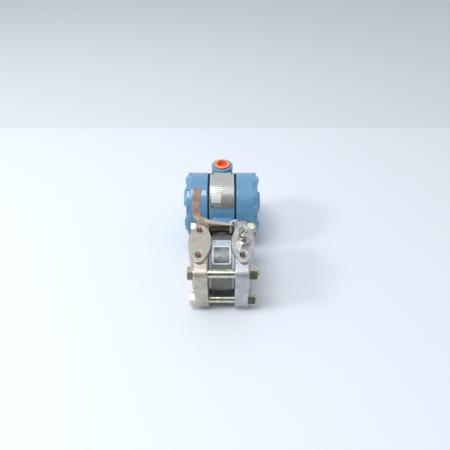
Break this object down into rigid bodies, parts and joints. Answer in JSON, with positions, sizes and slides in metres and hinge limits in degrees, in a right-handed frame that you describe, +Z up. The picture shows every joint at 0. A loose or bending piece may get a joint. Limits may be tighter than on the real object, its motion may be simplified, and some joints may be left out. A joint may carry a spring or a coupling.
{
  "type": "pressure transmitter",
  "caption": "Field pressure transmitter: blue two-compartment housing on a neck over a sensor clamped between oval-padded flanges, with vent valve, conduit hub and wired tag.",
  "frame": {"origin": "centre of the four tapped holes on the rear pads, in the plane of the rear pads", "axes": "lying on its back as pictured: +X to the right along the sensor axis, +Y along the neck from the sensor to the electronics housing, +Z up, out of the front pads"},
  "size_m": [0.1086, 0.2127, 0.139],
  "materials": {
    "cast_steel_warm": "cast stainless steel, machined pads",
    "cast_steel": "cast stainless steel, machined pads",
    "zinc_plate": "yellowish zinc plate",
    "sensor_steel": "dark grey welded steel",
    "foil_steel": "thin pressed foil",
    "white_seal": "glass-filled PTFE",
    "label_foil": "printed foil",
    "header_metal": "plated header",
    "bright_steel": "turned stainless steel",
    "blue_paint": "semi-gloss blue paint",
    "brushed_plate": "brushed",
    "orange_plastic": "moulded",
    "black_rubber": "matt",
    "board_green": "solder mask",
    "can_metal": "can",
    "black_plastic": "moulded",
    "trimmer_blue": "moulded",
    "tie_wire": "drawn wire",
    "tag_metal": "thin bronze-toned sheet"
  },
  "bodies": {
    "process_body": {"left_flange": "cast_steel_warm", "right_flange": "cast_steel", "flange_bolts": "zinc_plate", "flange_nuts": "zinc_plate", "sensor_module": "sensor_steel", "left_diaphragm": "foil_steel", "right_diaphragm": "foil_steel", "left_process_seal": "white_seal", "right_process_seal": "white_seal", "sensor_label": "label_foil", "neck_lock_nut": "zinc_plate", "sensor_header": "header_metal", "vent_valve_seat": "bright_steel"},
    "vent_stem": {"vent_valve_stem": "bright_steel"},
    "housing": {"electronics_housing": "blue_paint", "nameplate": "brushed_plate", "nameplate_screws": "bright_steel", "amplifier_board": "board_green", "calibration_board": "board_green", "board_posts": "bright_steel", "board_spacers": "bright_steel", "board_screws": "bright_steel", "board_capacitors": "can_metal", "board_transformer": "black_plastic", "board_potentiometers": "trimmer_blue", "board_connector": "black_plastic", "terminal_block": "black_plastic", "terminal_screws": "bright_steel", "terminal_block_screws": "bright_steel"},
    "zero_adjuster": {"zero_screw": "bright_steel"},
    "span_adjuster": {"span_screw": "bright_steel"},
    "plug": {"conduit_plug": "orange_plastic"},
    "left_ring": {"left_cover_seal": "black_rubber"},
    "left_cap": {"left_cover": "blue_paint"},
    "right_ring": {"right_cover_seal": "black_rubber"},
    "right_cap": {"right_cover": "blue_paint"},
    "tag": {"tag_wire": "tie_wire", "tag_strip": "tag_metal"}
  },
  "joints": [
    {"name": "housing_swivel", "type": "hinge", "parent": "process_body", "child": "housing", "pos_m": [0, 0.06, 0.0415], "axis": [0, 1, 0], "range_deg": [-90, 90]},
    {"name": "left_cover_travel", "type": "slide", "parent": "housing", "child": "left_ring", "axis": [-1, 0, 0], "range_m": [0, 0.0141]},
    {"name": "left_cover_turn", "type": "hinge", "parent": "left_ring", "child": "left_cap", "pos_m": [-0.04, 0.1155, 0.0415], "axis": [-1, 0, 0], "range_deg": [0, 2520]},
    {"name": "right_cover_travel", "type": "slide", "parent": "housing", "child": "right_ring", "axis": [1, 0, 0], "range_m": [0, 0.0141]},
    {"name": "right_cover_turn", "type": "hinge", "parent": "right_ring", "child": "right_cap", "pos_m": [0.04, 0.1155, 0.0415], "axis": [1, 0, 0], "range_deg": [0, 2520]},
    {"name": "vent_stem_turn", "type": "hinge", "parent": "process_body", "child": "vent_stem", "pos_m": [0.027, 0, 0.083], "axis": [0, 0, 1], "range_deg": [0, 720]},
    {"name": "zero_turn", "type": "hinge", "parent": "housing", "child": "zero_adjuster", "pos_m": [-0.009, 0.1155, 0.0865], "axis": [0, 0, 1], "continuous": true},
    {"name": "span_turn", "type": "hinge", "parent": "housing", "child": "span_adjuster", "pos_m": [0.009, 0.1155, 0.0865], "axis": [0, 0, 1], "continuous": true},
    {"name": "plug_pull", "type": "slide", "parent": "housing", "child": "plug", "axis": [0, 0, 1], "range_m": [0, 0.03]},
    {"name": "tag_swing", "type": "hinge", "parent": "process_body", "child": "tag", "pos_m": [0.0118, 0.0382, 0.068], "axis": [1, 0, 0], "range_deg": [-25, 10]}
  ],
  "couplings": [
    {"joint": "left_cover_travel", "follows": "left_cover_turn", "m_per_rad": 0.00031831},
    {"joint": "right_cover_travel", "follows": "right_cover_turn", "m_per_rad": 0.00031831}
  ]
}
